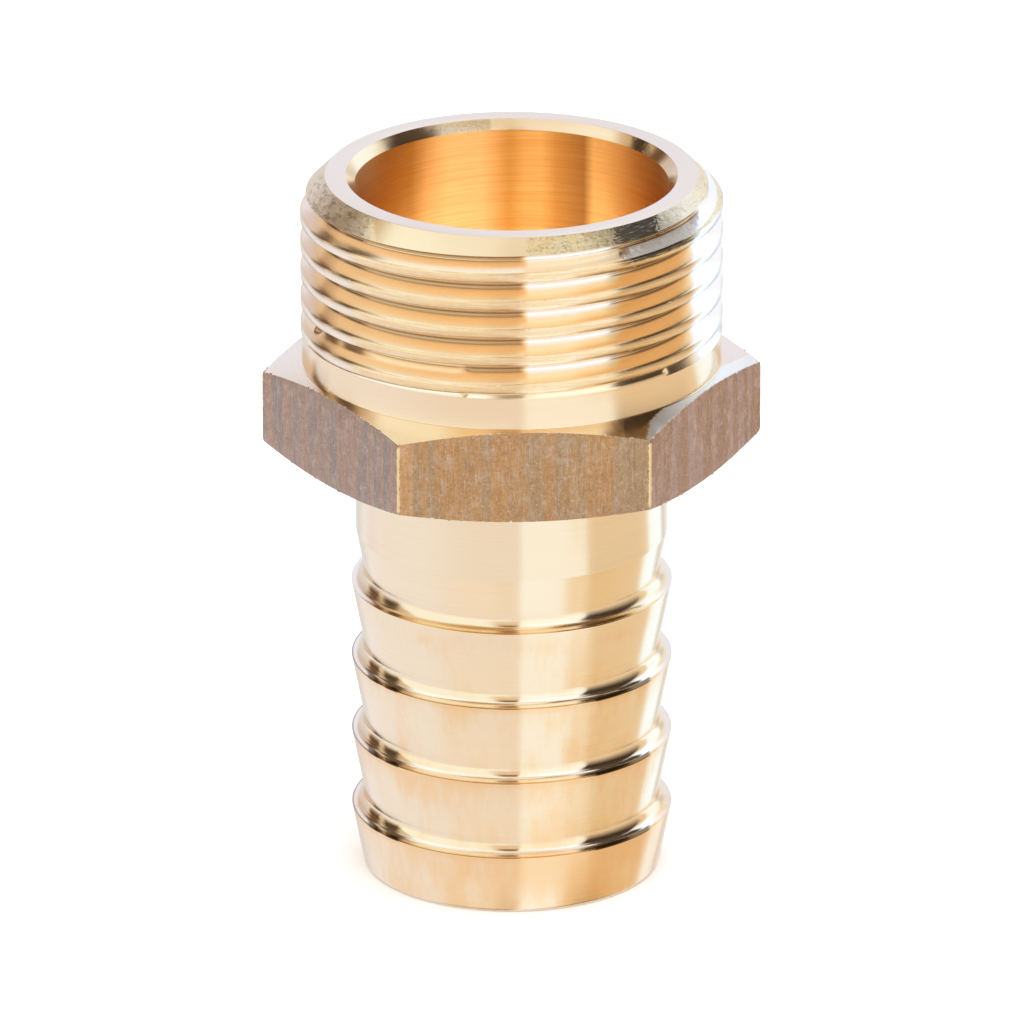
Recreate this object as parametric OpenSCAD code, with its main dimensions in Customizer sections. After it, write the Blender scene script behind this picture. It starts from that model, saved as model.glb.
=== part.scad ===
// Turned brass hose nipple: male pipe thread, spanner hexagon and ribbed hose tail in one piece.
// It stands on its hose end at z = 0 with the thread upwards, and its flow passage lies along Z.
// All sizes are in millimetres and degrees.

/* [Thread] */
// Diameter over the thread crests
thread_d = 26.3; // [26.2:0.05:26.45]
// Distance from one thread crest to the next
thread_pitch = 1.814; // [1.78:0.002:1.85]
// Depth of the thread groove below the crests
thread_depth = 1; // [0.8:0.05:1.16]
// Width of the flat left on each thread crest
crest_w = 0.55; // [0.4:0.05:0.6]
// Angle between the two flanks of the thread groove
flank_angle = 55; // [53:1:56]
// Length from the end face to the plain band below the thread
thread_len = 10.05; // [9:0.05:13]
// Height of the lowest crest's first edge above the plain band
first_land = 0.36; // [0.3:0.02:0.6]
// Side on which the thread groove runs out, as an angle from -Y towards +X
runout_angle = -16; // [-180:1:180]
// Width of the outer chamfer at the end face
end_chamfer = 1.55; // [1.3:0.05:2]

/* [Plain band] */
// Diameter of the plain band between the thread and the hexagon
band_d = 26.1; // [25.6:0.05:26.2]
// Height of the plain band
band_h = 2; // [1.5:0.1:3]

/* [Hexagon] */
// Width across the hexagon's flats
hex_af = 27; // [27:0.5:30]
// Height of the hexagon
hex_h = 6; // [5:0.25:9]
// Diameter of the flat ring inside the corner chamfers
hex_face_d = 26.4; // [26.3:0.1:27]
// Slope of the corner chamfers from the flat ring
hex_chamfer_angle = 17; // [12:1:25]

/* [Hose tail] */
// Length from the hose end to the hexagon
tail_len = 27.65; // [27:0.05:32]
// Diameter over the sharp ridges
ridge_d = 20.1; // [19.8:0.05:20.8]
// Distance from one ridge to the next
ridge_pitch = 5; // [4.5:0.05:5.1]
// Number of ridges
ridge_count = 4; // [2:1:4]
// Distance from the hose end to the first ridge
nose_len = 3.93; // [3:0.01:4.4]
// Slope of the cone below each ridge
ridge_angle = 10.8; // [9:0.1:12]
// Radius of the hollow above each ridge
shoulder_r = 0.6; // [0.3:0.05:0.7]
// Width of the broken edge round the hose end
nose_break = 0.2; // [0.1:0.05:0.4]
// Diameter of the smooth neck below the hexagon
neck_d = 19.5; // [19.2:0.05:19.7]

/* [Flow passage] */
// Diameter of the passage through the hose tail
bore_d = 15; // [13:0.25:15.5]
// Diameter of the wider passage inside the thread
counterbore_d = 19.5; // [18:0.1:20.4]
// Depth of the wider passage from the end face
counterbore_depth = 13; // [9:0.25:14]
// Angle of the cone between the two passage sizes
drill_angle = 118; // [90:1:130]
// Width of the chamfer at the threaded mouth
mouth_chamfer = 0.57; // [0.3:0.01:0.8]
// Width of the chamfer at the hose end's mouth
nose_chamfer = 0.5; // [0.3:0.05:0.8]

/* [Hidden] */

$fn = 128;
// Overshoot that carries each cut clear of the surface it opens
cut = 0.5;

// Heights of the faces up the fitting
hex_z = tail_len;
band_z = hex_z + hex_h;
blank_z = band_z + band_h;
end_z = blank_z + thread_len;

// Slopes as rise over run
ridge_slope = tan(ridge_angle);
hex_slope = tan(hex_chamfer_angle);
flank_slope = tan(flank_angle / 2);

// Thread groove: the steps of its sweep, the turn over which it deepens, and its widths
turn_steps = 36;
runout_turns = 1;
corners = 4;
groove_w = thread_pitch - crest_w;
root_w = groove_w - 2 * thread_depth * flank_slope;
// The groove's middle starts this high, so that its upper edge leaves the first land
groove_z = blank_z + first_land - groove_w / 2;
groove_turns = (end_z - groove_z + thread_pitch) / thread_pitch;
groove_steps = ceil(groove_turns * turn_steps);

function ridge_z(i) = nose_len + i * ridge_pitch;

// Radius of the cone that ends at the ridge at height z_ridge, taken at height z
function cone_r(z, z_ridge) = ridge_d / 2 - (z_ridge - z) * ridge_slope;

// Share of the full depth that the groove has reached after the given turns
function groove_share(turns) = min(1, turns / runout_turns);

// Corners of the groove's section, from the outer upper one round to the outer lower one.
// Where the groove is shallow, the section has slid outwards along its upper flank.
function groove_section(turns) =
    let (lift = thread_depth * (1 - groove_share(turns)),
         rise = lift * flank_slope,
         root = thread_d / 2 - thread_depth + lift,
         mouth = root + thread_depth + cut,
         mouth_w = groove_w + 2 * cut * flank_slope)
    [[mouth, rise + mouth_w / 2], [root, rise + root_w / 2],
     [root, rise - root_w / 2], [mouth, rise - mouth_w / 2]];

function groove_ring(step) =
    let (turns = step / turn_steps,
         angle = 360 * turns + runout_angle - 90,
         z = groove_z + turns * thread_pitch)
    [for (p = groove_section(turns)) [p[0] * cos(angle), p[0] * sin(angle), z + p[1]]];

// Helical groove of the right-hand thread, swept as one closed strip
module thread_groove() {
    points = [for (step = [0:groove_steps]) each groove_ring(step)];
    sides = [for (step = [0:groove_steps - 1], k = [0:corners - 1])
        let (a = corners * step + k, b = corners * step + (k + 1) % corners)
        each [[a, b, b + corners], [a, b + corners, a + corners]]];
    last = corners * groove_steps;
    ends = [[for (k = [1:corners]) corners - k], [for (k = [0:corners - 1]) last + k]];
    polyhedron(points = points, faces = concat(sides, ends), convexity = 8);
}

// Hollow corner between a ridge's flat shoulder at height z and the cone of the ridge above it
module shoulder_hollow(z) {
    foot = cone_r(z, z + ridge_pitch);
    centre = foot + shoulder_r * (ridge_slope + 1 / cos(ridge_angle));
    touch = [centre - shoulder_r * cos(ridge_angle), z + shoulder_r * (1 + sin(ridge_angle))];
    difference() {
        polygon([[foot - cut, z], [centre, z], touch, [foot - cut, touch[1]]]);
        translate([centre, z + shoulder_r]) circle(shoulder_r);
    }
}

// Half outline of the hose tail: a tapered nose, the ridges and the smooth neck
module tail_outline() {
    neck_z = ridge_z(ridge_count) - (ridge_d - neck_d) / 2 / ridge_slope;
    polygon([[0, 0], [cone_r(0, nose_len) - nose_break, 0], [cone_r(nose_break, nose_len), nose_break],
        [ridge_d / 2, nose_len], [0, nose_len]]);
    for (i = [1:ridge_count - 1])
        polygon([[0, ridge_z(i - 1)], [cone_r(ridge_z(i - 1), ridge_z(i)), ridge_z(i - 1)],
            [ridge_d / 2, ridge_z(i)], [0, ridge_z(i)]]);
    polygon([[0, ridge_z(ridge_count - 1)],
        [cone_r(ridge_z(ridge_count - 1), ridge_z(ridge_count)), ridge_z(ridge_count - 1)],
        [neck_d / 2, neck_z], [neck_d / 2, hex_z + cut], [0, hex_z + cut]]);
    for (i = [0:ridge_count - 1])
        shoulder_hollow(ridge_z(i));
}

// Half outline of the plain band and the threaded end before its thread is cut
module blank_outline() {
    polygon([[0, hex_z + cut], [band_d / 2, hex_z + cut], [band_d / 2, blank_z],
        [thread_d / 2, blank_z], [thread_d / 2, end_z - end_chamfer],
        [thread_d / 2 - end_chamfer, end_z], [0, end_z]]);
}

// Spanner hexagon with its corners turned off to shallow cones
module hexagon() {
    corner_r = hex_af / 2 / cos(30);
    reach = corner_r + cut;
    drop = (reach - hex_face_d / 2) * hex_slope;
    intersection() {
        translate([0, 0, hex_z]) cylinder(h = hex_h, r = corner_r, $fn = 6);
        rotate_extrude()
            polygon([[0, hex_z], [hex_face_d / 2, hex_z], [reach, hex_z + drop],
                [reach, band_z - drop], [hex_face_d / 2, band_z], [0, band_z]]);
    }
}

// Half outline of the stepped flow passage with a chamfer at each mouth
module passage_outline() {
    bore_r = bore_d / 2;
    counterbore_r = counterbore_d / 2;
    seat_z = end_z - counterbore_depth;
    cone_h = (counterbore_r - bore_r) / tan(drill_angle / 2);
    polygon([[0, -cut], [bore_r + nose_chamfer + cut, -cut], [bore_r, nose_chamfer],
        [bore_r, seat_z - cone_h], [counterbore_r, seat_z], [counterbore_r, end_z - mouth_chamfer],
        [counterbore_r + mouth_chamfer + cut, end_z + cut], [0, end_z + cut]]);
}

module hose_nipple() {
    color("goldenrod")
    difference() {
        union() {
            rotate_extrude() tail_outline();
            rotate_extrude() blank_outline();
            hexagon();
        }
        rotate_extrude() passage_outline();
        thread_groove();
    }
}

hose_nipple();
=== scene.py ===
import math

import bpy
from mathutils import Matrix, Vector


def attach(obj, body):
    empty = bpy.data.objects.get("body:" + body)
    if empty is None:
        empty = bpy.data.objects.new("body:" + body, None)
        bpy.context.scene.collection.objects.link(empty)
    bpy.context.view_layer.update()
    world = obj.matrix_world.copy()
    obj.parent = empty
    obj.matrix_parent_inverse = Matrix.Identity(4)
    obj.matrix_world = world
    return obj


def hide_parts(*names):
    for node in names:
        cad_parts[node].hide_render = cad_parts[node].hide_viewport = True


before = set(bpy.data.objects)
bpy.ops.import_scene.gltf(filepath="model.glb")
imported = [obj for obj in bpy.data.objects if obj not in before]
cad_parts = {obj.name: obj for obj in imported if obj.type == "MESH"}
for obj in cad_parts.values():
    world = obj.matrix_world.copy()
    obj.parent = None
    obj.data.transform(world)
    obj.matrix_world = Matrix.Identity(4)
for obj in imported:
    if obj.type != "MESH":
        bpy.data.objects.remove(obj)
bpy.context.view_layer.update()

mm = 0.001


# Writing node trees as sums

class Wire:
    # one output of a node, which can be used in a sum
    def __init__(self, graph, socket):
        self.graph = graph
        self.socket = socket

    def __add__(self, other):
        return self.graph.maths("ADD", self, other)

    def __radd__(self, other):
        return self.graph.maths("ADD", other, self)

    def __sub__(self, other):
        return self.graph.maths("SUBTRACT", self, other)

    def __rsub__(self, other):
        return self.graph.maths("SUBTRACT", other, self)

    def __mul__(self, other):
        return self.graph.maths("MULTIPLY", self, other)

    def __truediv__(self, other):
        return self.graph.maths("DIVIDE", self, other)

    def __mod__(self, other):
        return self.graph.maths("FLOORED_MODULO", self, other)

    def __gt__(self, other):
        return self.graph.maths("GREATER_THAN", self, other)

    def __lt__(self, other):
        return self.graph.maths("LESS_THAN", self, other)


class Graph:
    # a shader or geometry tree that is being filled
    def __init__(self, tree):
        self.tree = tree

    # adds a node: its settings first, then the values or links of its sockets
    def add(self, kind, settings=None, sockets=None, out=0):
        node = self.tree.nodes.new(kind)
        for name, value in (settings or {}).items():
            setattr(node, name, value)
        for key, value in (sockets or {}).items():
            target = node.inputs[key]
            if isinstance(value, (list, tuple)) and any(isinstance(v, Wire) for v in value):
                for v in value:
                    self.tree.links.new(v.socket, target)
            elif isinstance(value, Wire):
                self.tree.links.new(value.socket, target)
            else:
                target.default_value = (*value, 1) if target.type == "RGBA" else value
        return Wire(self, node.outputs[out]) if len(node.outputs) else node

    def output(self, wire, name):
        # a named output of the node that a wire comes from
        return Wire(self, wire.socket.node.outputs[name])

    def maths(self, operation, *values):
        return self.add("ShaderNodeMath", {"operation": operation}, dict(enumerate(values)))

    def least(self, a, b):
        return self.maths("MINIMUM", a, b)

    def most(self, a, b):
        return self.maths("MAXIMUM", a, b)

    def vector(self, x, y, z):
        return self.add("ShaderNodeCombineXYZ", sockets={"X": x, "Y": y, "Z": z})

    def parts(self, vector):
        x = self.add("ShaderNodeSeparateXYZ", sockets={"Vector": vector})
        return x, self.output(x, "Y"), self.output(x, "Z")

    def ease(self, value, low, high):
        # 0 below low, 1 above high, smooth between
        return self.add("ShaderNodeMapRange", {"interpolation_type": "SMOOTHSTEP"},
                        {"Value": value, "From Min": low, "From Max": high})

    def fade(self, value, low, high):
        # 1 below low, 0 above high
        return 1 - self.ease(value, low, high)

    def band(self, value, low, high, soft):
        # 1 between low and high, with soft sides
        return self.ease(value, low - soft, low + soft) * self.fade(value, high - soft, high + soft)

    def mixColour(self, factor, a, b, blend="MIX"):
        return self.add("ShaderNodeMix", {"data_type": "RGBA", "blend_type": blend},
                        {"Factor": factor, 6: a, 7: b}, out=2)

    def layered(self, colour, layers):
        # lays tints over a colour, one after another: (mask, tint)
        for mask, tint in layers:
            colour = self.mixColour(mask, colour, tint)
        return colour

    def ramp(self, value, stops):
        # the colour for a value, from stops of (value, colour)
        wire = self.add("ShaderNodeValToRGB", sockets={"Fac": value})
        elements = wire.socket.node.color_ramp.elements
        elements.remove(elements[1])
        for number, (place, colour) in enumerate(stops):
            stop = elements[0] if number == 0 else elements.new(place)
            stop.position = place
            stop.color = (*colour, 1)
        return wire

    def noise(self, vector, scale, detail, rough):
        return self.add("ShaderNodeTexNoise", sockets={
            "Vector": vector, "Scale": scale, "Detail": detail, "Roughness": rough})


# The outline that is turned round the axis

tail = {
    "ridgeRadius": 10.05, "ridgePitch": 5.0, "ridgeCount": 4, "noseLength": 3.93, "ridgeAngle": 10.8,
    "hollowRadius": 0.74, "neckRadius": 9.75, "length": 27.65, "noseBreak": 0.2, "ridgeEdge": 0.05,
}
hexagon = {
    "acrossFlats": 27.0, "height": 6.0, "faceRadius": 13.2, "chamferAngle": 17.0,
    "cornerRound": 0.14, "edgeRound": 0.06, "edgeRagged": 0.05, "raggedScale": 2600.0,
    "rows": 4,
}
thread = {
    "crestRadius": 13.15, "pitch": 1.814, "depth": 1.0, "crestWidth": 0.55, "flankAngle": 55.0,
    "length": 10.05, "endChamfer": 1.55, "bandRadius": 13.05, "bandHeight": 2.0, "firstLand": 0.36,
    "runoutAngle": -16.0, "chasers": 6, "leadSlope": 0.7, "crestEdge": 0.025,
}
passage = {
    "tailRadius": 7.5, "threadRadius": 9.75, "threadDepth": 13.0, "drillAngle": 118.0,
    "mouthChamfer": 0.57, "noseChamfer": 0.5, "edge": 0.04,
}
turning = {"columns": 360, "gather": 0.85, "arcSteps": 4, "threadColumns": 240, "sharpAngle": 40.0}
# small torn bits of metal: how many, and their half lengths, widths and heights
burrs = {
    "rim": {"count": 420, "length": (0.04, 0.30), "width": 0.045, "height": (0.02, 0.10), "seed": 4,
            "crowdedShare": 0.22, "crowdedAngles": (-1.0, -0.1), "inset": 0.03},
    "crest": {"count": 130, "length": (0.04, 0.22), "width": 0.036, "height": (0.015, 0.055), "seed": 9},
    "sunk": 0.012,
}

hexBottom = tail["length"]
bandBottom = hexBottom + hexagon["height"]
threadBottom = bandBottom + thread["bandHeight"]
fittingTop = threadBottom + thread["length"]
# the middle of the groove where it starts, and the angle of one side of the hexagon
grooveStart = threadBottom + thread["firstLand"] - (thread["pitch"] - thread["crestWidth"]) / 2
sector = math.pi / 3


def newObject(name, points, edges, faces):
    mesh = bpy.data.meshes.new(name)
    mesh.from_pydata(points, edges, faces)
    piece = bpy.data.objects.new(name, mesh)
    bpy.context.collection.objects.link(piece)
    return piece


def roundedCorner(before, corner, after, radius, steps):
    # replaces a corner of an outline by an arc
    p, a, b = Vector(corner), Vector(before), Vector(after)
    toA, toB = (a - p).normalized(), (b - p).normalized()
    half = toA.angle(toB) / 2
    reach = min(radius / math.tan(half), 0.45 * (a - p).length, 0.45 * (b - p).length)
    radius = reach * math.tan(half)
    middle = p + (toA + toB).normalized() * (radius / math.sin(half))
    start, end = p + toA * reach - middle, p + toB * reach - middle
    turn = start.angle_signed(end)
    points = []
    for step in range(steps + 1):
        angle = -turn * step / steps
        spun = Vector((start.x * math.cos(angle) - start.y * math.sin(angle),
                       start.x * math.sin(angle) + start.y * math.cos(angle)))
        points.append(tuple(middle + spun))
    return points


def tailOutline():
    # from the hose end up to the hexagon: (radius, height, rounding)
    lean = math.radians(tail["ridgeAngle"])
    slope = math.tan(lean)
    ridge, hollow, nose = tail["ridgeRadius"], tail["hollowRadius"], tail["noseBreak"]
    foot = ridge - tail["noseLength"] * slope
    centre = ridge - tail["ridgePitch"] * slope + hollow * (slope + 1 / math.cos(lean))
    points = [(foot - nose, 0, 0.05), (foot + nose * slope, nose, 0.15)]
    for number in range(tail["ridgeCount"]):
        z = tail["noseLength"] + number * tail["ridgePitch"]
        points.append((ridge, z, tail["ridgeEdge"]))
        steps = 14
        for step in range(steps + 1):   # the hollow runs from the flat shoulder round to the cone
            angle = math.radians(90 + tail["ridgeAngle"]) * step / steps
            points.append((centre - hollow * math.sin(angle), z + hollow * (1 - math.cos(angle)), 0))
    coneTop = tail["noseLength"] + tail["ridgeCount"] * tail["ridgePitch"]
    neck = tail["neckRadius"]
    points.append((neck, coneTop - (ridge - neck) / slope, 0.6))
    points.append((neck, hexBottom, 0.12))
    return points


def endOutline():
    # from the hexagon's upper face over the threaded end and down the passage to the hose end
    crest, edge = thread["crestRadius"], passage["edge"]
    chamfer, mouth = thread["endChamfer"], passage["mouthChamfer"]
    wide, narrow = passage["threadRadius"], passage["tailRadius"]
    seat = fittingTop - passage["threadDepth"]
    cone = (wide - narrow) / math.tan(math.radians(passage["drillAngle"] / 2))
    return [
        (thread["bandRadius"], bandBottom, 0.08), (thread["bandRadius"], threadBottom, 0.03),
        (crest, threadBottom + 0.03, 0.02),
        (crest, fittingTop - chamfer, 0.04), (crest - chamfer, fittingTop, 0.06),
        (wide + mouth, fittingTop, edge), (wide, fittingTop - mouth, edge),
        (wide, seat, 0.1), (narrow, seat - cone, 0.1), (narrow, passage["noseChamfer"], edge),
        (narrow + passage["noseChamfer"], 0, edge),
    ]


def fittingOutline():
    # the whole closed outline: (radius, height, on the hexagon's wall, share of its height, inset)
    face, rim = hexagon["faceRadius"], hexagon["edgeRound"]
    halfFlat = hexagon["acrossFlats"] / 2
    corners = tailOutline() + [(face, hexBottom, 0.1), None, (face, bandBottom, 0.1)] + endOutline()
    rows = [(0.0, -rim), (rim, 0.0)]
    rows += [(share / hexagon["rows"], 0.0) for share in range(1, hexagon["rows"])]
    rows += [(1 - rim, 0.0), (1.0, -rim)]
    outline = []
    for number, corner in enumerate(corners):
        if corner is None:   # the wall takes the place of a corner
            outline += [(0, 0, 1, share, inset) for share, inset in rows]
            continue
        radius, height, rounding = corner
        if not rounding:
            outline.append((radius, height, 0, 0, 0))
            continue
        before = corners[number - 1] or (halfFlat, bandBottom - 0.1, 0)
        after = corners[(number + 1) % len(corners)] or (halfFlat, hexBottom + 0.1, 0)
        arc = roundedCorner(before[:2], (radius, height), after[:2], rounding, turning["arcSteps"])
        outline += [(r, z, 0, 0, 0) for r, z in arc]
    return outline


def outlineObject(name):
    # the outline as points and edges in the XZ plane, with its hexagon rows marked
    outline = fittingOutline()
    count = len(outline)
    edges = [(i, (i + 1) % count) for i in range(count)]
    piece = newObject(name, [(r * mm, 0, z * mm) for r, z, *_ in outline], edges, [])
    for label, column in (("onWall", 2), ("wallShare", 3), ("wallInset", 4)):
        layer = piece.data.attributes.new(label, "FLOAT", "POINT")
        layer.data.foreach_set("value", [point[column] for point in outline])
    return piece


def grooveSection():
    # half of the groove's closed section, as (distance up from its middle, depth below the crest)
    beta = math.radians(thread["flankAngle"] / 2)
    flank = math.tan(beta)
    depth, edge = thread["depth"], thread["crestEdge"]
    rootSteps, flankSteps, mouth = 4, 6, 0.15
    halfWidth = (thread["pitch"] - thread["crestWidth"]) / 2 - 0.6 * edge
    root = (halfWidth - flank * depth) / (math.cos(beta) - flank * (1 - math.sin(beta)))
    points = []
    for step in range(rootSteps + 1):
        angle = (math.pi / 2 - beta) * step / rootSteps
        points.append((root * math.sin(angle), depth - root * (1 - math.cos(angle))))
    low = points[-1][1]
    for step in range(1, flankSteps + 1):
        d = low + (edge - low) * step / flankSteps
        points.append((halfWidth - flank * d, d))
    lean = math.tan((math.pi / 2 + beta) / 2)
    points.append((points[-1][0] + lean * (edge + mouth), -mouth))
    return points


def sectionObject(name):
    # the groove's section as a row of points: x is the depth, z the place along the thread's axis
    half = grooveSection()
    loop = [(-up, depth) for up, depth in half] + [(up, depth) for up, depth in reversed(half[1:])]
    edges = [(i, (i + 1) % len(loop)) for i in range(len(loop))]
    return newObject(name, [(depth * mm, 0, up * mm) for up, depth in loop], edges, [])


# The geometry tree: turn the outline, shape the hexagon, cut the thread

def treeInputs():
    # the tree's named inputs, in metres and radians, and what each is set to
    return {
        "Across Flats": hexagon["acrossFlats"] * mm, "Corner Round": hexagon["cornerRound"] * mm,
        "Edge Ragged": hexagon["edgeRagged"] * mm, "Crest Radius": thread["crestRadius"] * mm,
        "Pitch": thread["pitch"] * mm, "Runout Angle": math.radians(thread["runoutAngle"]),
        "Rim Chips": burrs["rim"]["count"], "Crest Flakes": burrs["crest"]["count"],
    }


def newTree(name, inputs):
    tree = bpy.data.node_groups.new(name, "GeometryNodeTree")
    face = tree.interface
    face.new_socket(name="Geometry", in_out="INPUT", socket_type="NodeSocketGeometry")
    for label, value in inputs.items():
        kind = "NodeSocketInt" if isinstance(value, int) else "NodeSocketFloat"
        face.new_socket(name=label, in_out="INPUT", socket_type=kind)
    face.new_socket(name="Geometry", in_out="OUTPUT", socket_type="NodeSocketGeometry")
    return tree


def fromCorner(g, angle):
    # the angle between a point and the nearest corner of the hexagon
    return g.maths("ABSOLUTE", (angle + sector / 2) % sector - sector / 2)


def roundAxis(g, radius, angle, height):
    return g.vector(radius * g.maths("COSINE", angle), radius * g.maths("SINE", angle), height)


def gridOf(g, across, along):
    # a grid of loose rows: the mesh, and each point's place across and along it
    grid = g.add("GeometryNodeMeshGrid", sockets={"Vertices X": along + 1, "Vertices Y": across + 1})
    index = g.add("GeometryNodeInputIndex")
    return grid, index % (across + 1), g.maths("FLOOR", index / (across + 1) + 1e-4)


def sampled(g, source, value, index, kind="FLOAT"):
    return g.add("GeometryNodeSampleIndex", {"data_type": kind, "domain": "POINT"},
                 {"Geometry": source, "Value": value, "Index": index})


def turnedBody(g, outline, count, inputs):
    grid, across, along = gridOf(g, count, turning["columns"])
    around = along / turning["columns"] * (2 * math.pi)
    sides = 6
    # the columns gather at the hexagon's corners
    angle = around - g.maths("SINE", around * sides) * (turning["gather"] / sides)
    point = across % count
    position = sampled(g, outline, g.add("GeometryNodeInputPosition"), point, "FLOAT_VECTOR")
    radius, _, height = g.parts(position)
    marks = [g.add("GeometryNodeInputNamedAttribute", {"data_type": "FLOAT"}, {"Name": name})
             for name in ("onWall", "wallShare", "wallInset")]
    onWall, share, inset = [sampled(g, outline, mark, point) for mark in marks]
    # the hexagon's wall: flats with rounded corners between two shallow cones
    halfFlat = inputs["Across Flats"] / 2
    away = fromCorner(g, angle)
    flat = halfFlat / g.maths("COSINE", sector / 2 - away)
    corner = inputs["Corner Round"]
    centre = (halfFlat - corner) / math.cos(sector / 2)
    swing = centre * g.maths("SINE", away)
    arc = centre * g.maths("COSINE", away) \
        + g.maths("SQRT", g.most(corner * corner - swing * swing, 0))
    touch = corner * 0.5 / (centre + corner * math.cos(sector / 2))
    wall = g.add("GeometryNodeSwitch", {"input_type": "FLOAT"},
                 {"Switch": away < touch, "False": flat, "True": arc})
    slope = math.tan(math.radians(hexagon["chamferAngle"]))
    face = hexagon["faceRadius"] * mm
    wallRadius = wall + inset * mm
    drop = (wallRadius - face) * slope
    onFace = g.vector(g.maths("COSINE", angle) * wall, g.maths("SINE", angle) * wall, share * 0.02)
    ragged = g.noise(onFace, hexagon["raggedScale"], 3, 0.6) - 0.5
    onRim = g.maths("ABSOLUTE", share - 0.5) > 0.47
    top, bottom = bandBottom * mm - drop, hexBottom * mm + drop
    wallHeight = bottom + (top - bottom) * share + ragged * onRim * inputs["Edge Ragged"]
    finalRadius = radius + (wallRadius - radius) * onWall
    finalHeight = height + (wallHeight - height) * onWall
    moved = g.add("GeometryNodeSetPosition", sockets={
        "Geometry": grid, "Position": roundAxis(g, finalRadius, angle, finalHeight)})
    return g.add("GeometryNodeMergeByDistance", sockets={"Geometry": moved, "Distance": 1e-6})


def threadCutter(g, section, count, inputs):
    perTurn, steps = turning["threadColumns"], thread["chasers"]
    lead = 2 / steps
    turns = math.ceil((fittingTop - grooveStart) / thread["pitch"] + 1 + lead)
    grid, across, along = gridOf(g, count, turns * perTurn)
    turn = along / perTurn - lead
    angle = turn * (2 * math.pi) + inputs["Runout Angle"] - math.pi / 2
    position = sampled(g, section, g.add("GeometryNodeInputPosition"), across % count, "FLOAT_VECTOR")
    depth, _, up = g.parts(position)
    # each chaser of the die left the groove one step shallower, along the slope of its lead
    stepped = g.maths("FLOOR", turn * steps + 1e-4) / steps
    leadDepth = (up + (grooveStart - threadBottom) * mm + stepped * inputs["Pitch"]) * thread["leadSlope"]
    clipped = g.most(g.least(depth, leadDepth), -0.05 * mm)
    isMouth = depth < -0.1 * mm
    finalDepth = clipped + (depth - clipped) * isMouth
    ends = (along < 0.5) + (along > turns * perTurn - 0.5)
    # both ends close outside the crests
    radius = inputs["Crest Radius"] - finalDepth
    height = grooveStart * mm + turn * inputs["Pitch"] + up * (1 - ends)
    radius = radius + (inputs["Crest Radius"] + 0.1 * mm - radius) * ends
    moved = g.add("GeometryNodeSetPosition", sockets={
        "Geometry": grid, "Position": roundAxis(g, radius, angle, height)})
    return g.add("GeometryNodeMergeByDistance", sockets={"Geometry": moved, "Distance": 1e-6})


def randomValue(g, low, high, seed):
    return g.add("FunctionNodeRandomValue", {"data_type": "FLOAT"},
                 {2: low, 3: high, 7: g.add("GeometryNodeInputIndex"), 8: seed}, out=1)


def scattered(g, count, place, turn, bits):
    # small irregular bits at the places given, each turned along its edge
    seed, length, height = bits["seed"], bits["length"], bits["height"]
    points = g.add("GeometryNodePoints", sockets={"Count": count, "Position": place})
    bit = g.add("GeometryNodeMeshIcoSphere", sockets={"Radius": 1.0, "Subdivisions": 1})
    share = randomValue(g, 0.0, 1.0, seed + 1)
    reach = length[0] + share * share * share * (length[1] - length[0])
    scale = g.vector(reach * mm, bits["width"] * mm, randomValue(g, *height, seed + 2) * mm)
    spin = g.vector(randomValue(g, -0.5, 0.5, seed + 3), randomValue(g, -0.25, 0.25, seed + 4), turn)
    return g.add("GeometryNodeInstanceOnPoints", sockets={
        "Points": points, "Instance": bit, "Rotation": spin, "Scale": scale})


def rimChips(g, inputs):
    # torn bits along both rims of the hexagon, closest together on the front right flat's upper rim
    bits, sunk = burrs["rim"], burrs["sunk"]
    seed, widest = bits["seed"], 15.46
    crowded = randomValue(g, 0.0, 1.0, seed) < bits["crowdedShare"]
    anywhere = randomValue(g, -math.pi, math.pi, seed + 10)
    angle = anywhere + (randomValue(g, *bits["crowdedAngles"], seed + 11) - anywhere) * crowded
    side = g.most(randomValue(g, 0.0, 1.0, seed + 12) > 0.5, crowded)
    wall = inputs["Across Flats"] / 2 / g.maths("COSINE", sector / 2 - fromCorner(g, angle))
    wall = g.least(wall, widest * mm)
    drop = (wall - hexagon["faceRadius"] * mm) * math.tan(math.radians(hexagon["chamferAngle"]))
    top, bottom = (bandBottom - sunk) * mm - drop, (hexBottom + sunk) * mm + drop
    radius = wall - (bits["width"] + bits["inset"]) * mm
    place = roundAxis(g, radius, angle, bottom + (top - bottom) * side)
    flat = (g.maths("FLOOR", angle / sector) + 0.5) * sector + math.pi / 2
    return scattered(g, inputs["Rim Chips"], place, flat, bits)


def crestFlakes(g, inputs):
    # torn bits along both edges of the thread's crests
    bits = burrs["crest"]
    seed, land = bits["seed"], thread["crestWidth"] - 0.03
    angle = randomValue(g, -math.pi, math.pi, seed)
    turn = (angle - inputs["Runout Angle"]) / (2 * math.pi)
    number = g.maths("FLOOR", randomValue(g, 0.0, 4.99, seed + 5))
    side = (randomValue(g, 0.0, 1.0, seed + 6) > 0.5) * land - land / 2
    height = grooveStart * mm + (turn + 0.5 + number) * inputs["Pitch"] + side * mm
    height = g.least(height, (fittingTop - thread["endChamfer"] - 0.1) * mm)
    height = g.most(height, (threadBottom + 0.3) * mm)
    radius = inputs["Crest Radius"] - burrs["sunk"] * mm
    place = g.vector(radius * g.maths("SINE", angle), 0 - radius * g.maths("COSINE", angle), height)
    return scattered(g, inputs["Crest Flakes"], place, angle, bits)


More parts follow.
